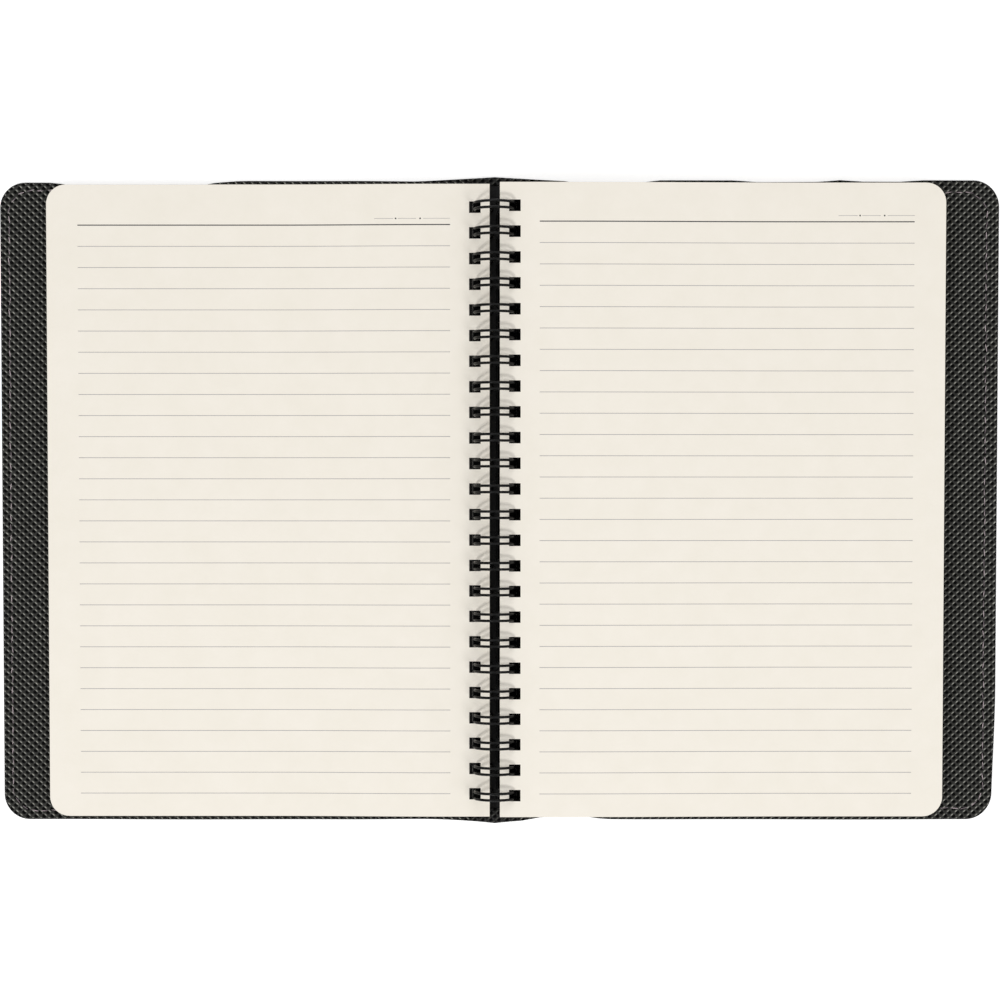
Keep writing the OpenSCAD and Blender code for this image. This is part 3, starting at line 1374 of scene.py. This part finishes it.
@dataclass
class Ruling:
    """What is printed on a leaf: a header line, writing lines and a blank date field."""

    stack: LeafStack
    header_from_head: float
    from_inner: float = 13.1
    from_outer: float = 10.35
    line_pitch: float = 7.0
    lines: int = 27
    line_w: float = 0.18
    header_w: float = 0.36
    date_above: float = 2.05
    dot_r: float = 0.28
    ink_t: float = 0.014
    columns: int = 40
    date_blanks: tuple[tuple[float, float], ...] = ((0.0, 8.9), (11.2, 17.3), (18.8, 25.1))
    date_dots: tuple[float, ...] = (9.9, 18.0)
    blank_share: float = 0.7

    @property
    def ends(self) -> tuple[float, float]:
        """Return both ends of the lines as distances from the spine's middle."""
        return self.stack.inner + self.from_inner, self.stack.outer - self.from_outer

    @property
    def header_y(self) -> float:
        """Return the header line's place along the spine."""
        return self.stack.half_h - self.header_from_head

    @property
    def date_y(self) -> float:
        """Return the date field's place along the spine."""
        return self.header_y + self.date_above

    def date_x(self, distance: float) -> float:
        """Return a place in the date field, measured from the header's right-hand end."""
        near, far = self.ends
        return near + distance if self.stack.side is Side.FRONT else far - distance

    def strips(self, spans: Sequence[tuple[float, float, float, float]]) -> bmesh.types.BMesh:
        """Draw printed strips flat, to the right of the spine.

        Args:
            spans: For each strip its two ends across the leaf, its place along the spine and
                its width.

        Returns:
            The strips, in columns that are narrow enough to bend with the leaf.
        """
        bm = bmesh.new()
        near, far = self.ends
        for start, end, y, width in spans:
            count = max(1, round(self.columns * (end - start) / (far - near)))
            middle = Vector((mm((start + end) / 2), mm(y), 0))
            size = Matrix.Diagonal((mm(end - start) / 2, mm(width) / 2, 1.0, 1.0))
            bmesh.ops.create_grid(
                bm,
                x_segments=count,
                y_segments=1,
                size=1.0,
                matrix=Matrix.Translation(middle) @ size,
            )
        return bm

    def lay(self, bm: bmesh.types.BMesh) -> None:
        """Give flat shapes their thickness and lay them on the uppermost leaf, a third sunk in.

        Args:
            bm: Shapes drawn flat, to the right of the spine.
        """
        thicken(bm, self.ink_t)
        for vert in bm.verts:
            vert.co.z += mm(self.stack.top(vert.co.x * 1000.0) - self.ink_t / 3)
            vert.co.x *= self.stack.side.value

    def build_lines(self, material: bpy.types.Material) -> bpy.types.Object:
        """Build the writing lines and the blanks of the date field.

        Args:
            material: Finish of the light ink.

        Returns:
            The piece, riding on the side's leaves.
        """
        near, far = self.ends
        spans = [
            (near, far, self.header_y - (i + 1) * self.line_pitch, self.line_w)
            for i in range(self.lines)
        ]
        for blank in self.date_blanks:
            start, end = sorted(self.date_x(distance) for distance in blank)
            spans.append((start, end, self.date_y, self.line_w * self.blank_share))
        bm = self.strips(spans)
        self.lay(bm)
        piece = finish_piece(bm, f"{self.stack.side.label}_ruled_lines", material)
        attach(piece, self.stack.side.leaves)
        return piece

    def build_header(self, material: bpy.types.Material) -> bpy.types.Object:
        """Build the header line and the two dots of the date field.

        Args:
            material: Finish of the dark ink.

        Returns:
            The piece, riding on the side's leaves.
        """
        bm = self.strips([(*self.ends, self.header_y, self.header_w)])
        for distance in self.date_dots:
            place = Matrix.Translation((mm(self.date_x(distance)), mm(self.date_y), 0))
            bmesh.ops.create_circle(
                bm, cap_ends=True, segments=14, radius=mm(self.dot_r), matrix=place
            )
        self.lay(bm)
        piece = finish_piece(bm, f"{self.stack.side.label}_header_print", material)
        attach(piece, self.stack.side.leaves)
        return piece


@dataclass
class Studio:
    """Plain pale studio: floor, soft lamps, and a camera above the notebook, tilted a little.

    The floor's half width is in metres.
    """

    distance: float = 780.0
    focal_px: float = 2328.6
    tilt_deg: float = 2.1
    photo_px: float = 1000.0
    middle_px: tuple[float, float] = (494.75, 501.8)
    sensor: float = 36.0
    floor_half_w: float = 3.0
    floor_gap: float = 0.1

    def add_camera(self) -> None:
        """Add the camera at the photograph's viewing angle."""
        camera = bpy.data.cameras.new("camera")
        camera.sensor_width = self.sensor
        camera.lens = self.sensor * self.focal_px / self.photo_px
        drop = self.focal_px * math.tan(math.radians(self.tilt_deg))
        camera.shift_x = (self.photo_px / 2 - self.middle_px[0]) / self.photo_px
        camera.shift_y = (drop + self.middle_px[1] - self.photo_px / 2) / self.photo_px
        camera.clip_start = 0.01
        seat = add_object("camera", camera)
        seat.location = (0.0, 0.0, mm(self.distance))
        seat.rotation_euler = (-math.radians(self.tilt_deg), 0.0, 0.0)
        bpy.context.scene.camera = seat

    def add_lamp(
        self, name: str, place: tuple[float, float, float], size: float, power: float
    ) -> None:
        """Add one soft square lamp aimed at the notebook.

        Args:
            name: Name of the lamp.
            place: Where it hangs, in metres.
            size: Length of its sides in metres.
            power: Its power in watts.
        """
        light = bpy.data.lights.new(name, "AREA")
        light.size = size
        light.energy = power
        lamp = add_object(name, light)
        lamp.location = place
        lamp.rotation_euler = (-Vector(place)).to_track_quat("-Z", "Y").to_euler()

    def seen_rays(self, tree: bpy.types.NodeTree) -> bpy.types.NodeSocket:
        """Return a socket that tells rays that see the surroundings from rays that carry light.

        Args:
            tree: Node tree to add to.

        Returns:
            One for camera, glossy and transmission rays, and zero for all others.
        """
        rays = add_node(tree, "ShaderNodeLightPath").outputs
        direct = add_node(
            tree,
            "ShaderNodeMath",
            {"operation": "ADD"},
            {0: rays["Is Camera Ray"], 1: rays["Is Glossy Ray"]},
        )
        return add_node(
            tree,
            "ShaderNodeMath",
            {"operation": "MAXIMUM"},
            {0: direct.outputs[0], 1: rays["Is Transmission Ray"]},
        ).outputs[0]

    def add_light(self) -> None:
        """Add a lamp at each side towards the foot, a fill at the head, and pale surroundings."""
        self.add_lamp("left_lamp", (-0.55, -0.62, 1.15), 0.17, 5.8)
        self.add_lamp("right_lamp", (0.6, -0.5, 1.0), 0.45, 3.2)
        self.add_lamp("head_lamp", (0.0, 0.9, 1.0), 0.8, 2.6)
        world = bpy.data.worlds.new("studio")
        world.use_nodes = True
        tree = world.node_tree
        tree.nodes.clear()
        soft = add_node(tree, "ShaderNodeBackground", inputs={0: WHITE, 1: 0.5})
        white = add_node(tree, "ShaderNodeBackground", inputs={0: WHITE, 1: 1.0})
        both = add_node(
            tree,
            "ShaderNodeMixShader",
            inputs={0: self.seen_rays(tree), 1: soft.outputs[0], 2: white.outputs[0]},
        )
        add_node(tree, "ShaderNodeOutputWorld", inputs={"Surface": both.outputs[0]})
        bpy.context.scene.world = world

    def add_floor(self) -> None:
        """Add the pale floor, which the camera sees as white outside the notebook's own shadow."""
        material, tree = new_material("studio_floor")
        matt = add_node(tree, "ShaderNodeBsdfDiffuse", inputs={0: linear("F4F4F4")})
        glow = add_node(tree, "ShaderNodeEmission", inputs={0: WHITE, 1: 0.5})
        lifted = add_node(
            tree, "ShaderNodeAddShader", inputs={0: matt.outputs[0], 1: glow.outputs[0]}
        )
        both = add_node(
            tree,
            "ShaderNodeMixShader",
            inputs={0: self.seen_rays(tree), 1: matt.outputs[0], 2: lifted.outputs[0]},
        )
        add_node(tree, "ShaderNodeOutputMaterial", inputs={"Surface": both.outputs[0]})
        bm = bmesh.new()
        bmesh.ops.create_grid(bm, x_segments=1, y_segments=1, size=self.floor_half_w)
        mesh = bpy.data.meshes.new("floor")
        bm.to_mesh(mesh)
        bm.free()
        mesh.materials.append(material)
        floor = add_object("floor", mesh)
        floor.location.z = -mm(self.floor_gap)

    def build(self) -> None:
        """Add camera, lamps, surroundings and floor."""
        self.add_camera()
        self.add_light()
        self.add_floor()
        bpy.context.scene.view_settings.view_transform = "Standard"


def main() -> None:
    """Build the notebook's pieces in order, then the studio round them."""
    logging.basicConfig(level=logging.INFO, format="%(name)s %(message)s")
    Studio().build()
    skin, panel, paper = JACKET_SKIN.build(), JACKET_PANEL.build(), PAPER.build()
    card, lining, coat, thread = CARD.build(), LINING.build(), WIRE_COAT.build(), THREAD.build()
    line_ink, header_ink = LINE_INK.build(), HEADER_INK.build()
    shape = JacketShape()
    for side, seam_inset in ((Side.FRONT, 3.05), (Side.BACK, 3.8)):
        half = JacketSide(side, shape, seam_inset)
        half.build_skin(skin)
        half.build_panel(panel)
        half.build_seam(thread)
    spine = SpineParts(shape)
    spine.build_fold(True, skin)
    spine.build_fold(False, skin)
    spine.build_lining(lining)
    wire = LoopWire()
    wire.build(coat)
    stacks = (
        LeafStack(Side.FRONT, wire, leaf_count=16, slope_w=55.0, hole_shift=0.55, foot_trim=0.0),
        LeafStack(Side.BACK, wire, leaf_count=64, slope_w=85.0, hole_shift=0.25, foot_trim=0.55),
    )
    for stack, header_from_head in zip(stacks, (13.35, 12.82), strict=True):
        stack.build_leaves(paper)
        stack.dress_card(card)
        ruling = Ruling(stack, header_from_head)
        ruling.build_lines(line_ink)
        ruling.build_header(header_ink)


if __name__ == "__main__":
    main()
